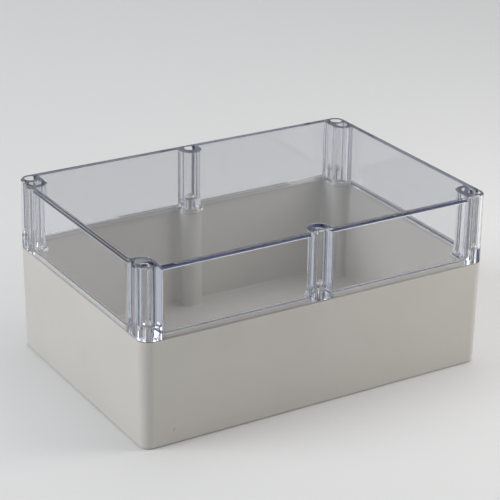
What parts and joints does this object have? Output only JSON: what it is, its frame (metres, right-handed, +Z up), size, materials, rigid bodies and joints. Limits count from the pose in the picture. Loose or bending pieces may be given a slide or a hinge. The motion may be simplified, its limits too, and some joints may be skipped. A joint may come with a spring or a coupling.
{
  "type": "junction box",
  "caption": "Deep rectangular sealed junction box: opaque grey plastic base under a clear flat-topped lid, screwed down at corner and middle columns.",
  "frame": {"origin": "middle of the base's underside", "axes": "+X along the long side, +Y to the back, +Z up through the lid"},
  "size_m": [0.263, 0.182, 0.125],
  "materials": {
    "base_plastic": "warm light grey moulded plastic with a fine satin grain",
    "lid_plastic": "clear polished plastic with a slight blue tint at its edges",
    "gasket_rubber": "soft light grey rubber",
    "screw_steel": "bright stainless",
    "insert_brass": "plain turned brass"
  },
  "bodies": {
    "base": {"base_shell": "base_plastic", "insert_front_left": "insert_brass", "insert_back_left": "insert_brass", "insert_front_right": "insert_brass", "insert_back_right": "insert_brass", "insert_front_middle": "insert_brass", "insert_back_middle": "insert_brass"},
    "lid": {"clear_lid": "lid_plastic", "lid_gasket": "gasket_rubber"},
    "front_left_screw": {"screw_front_left": "screw_steel"},
    "back_left_screw": {"screw_back_left": "screw_steel"},
    "front_right_screw": {"screw_front_right": "screw_steel"},
    "back_right_screw": {"screw_back_right": "screw_steel"},
    "front_middle_screw": {"screw_front_middle": "screw_steel"},
    "back_middle_screw": {"screw_back_middle": "screw_steel"}
  },
  "joints": [
    {"name": "lid_lift", "type": "slide", "parent": "base", "child": "lid", "axis": [0, 0, 1], "range_m": [0, 0.06]},
    {"name": "front_left_screw_out", "type": "slide", "parent": "lid", "child": "front_left_screw", "axis": [0, 0, 1], "range_m": [0, 0.058]},
    {"name": "back_left_screw_out", "type": "slide", "parent": "lid", "child": "back_left_screw", "axis": [0, 0, 1], "range_m": [0, 0.058]},
    {"name": "front_right_screw_out", "type": "slide", "parent": "lid", "child": "front_right_screw", "axis": [0, 0, 1], "range_m": [0, 0.058]},
    {"name": "back_right_screw_out", "type": "slide", "parent": "lid", "child": "back_right_screw", "axis": [0, 0, 1], "range_m": [0, 0.058]},
    {"name": "front_middle_screw_out", "type": "slide", "parent": "lid", "child": "front_middle_screw", "axis": [0, 0, 1], "range_m": [0, 0.058]},
    {"name": "back_middle_screw_out", "type": "slide", "parent": "lid", "child": "back_middle_screw", "axis": [0, 0, 1], "range_m": [0, 0.058]}
  ]
}
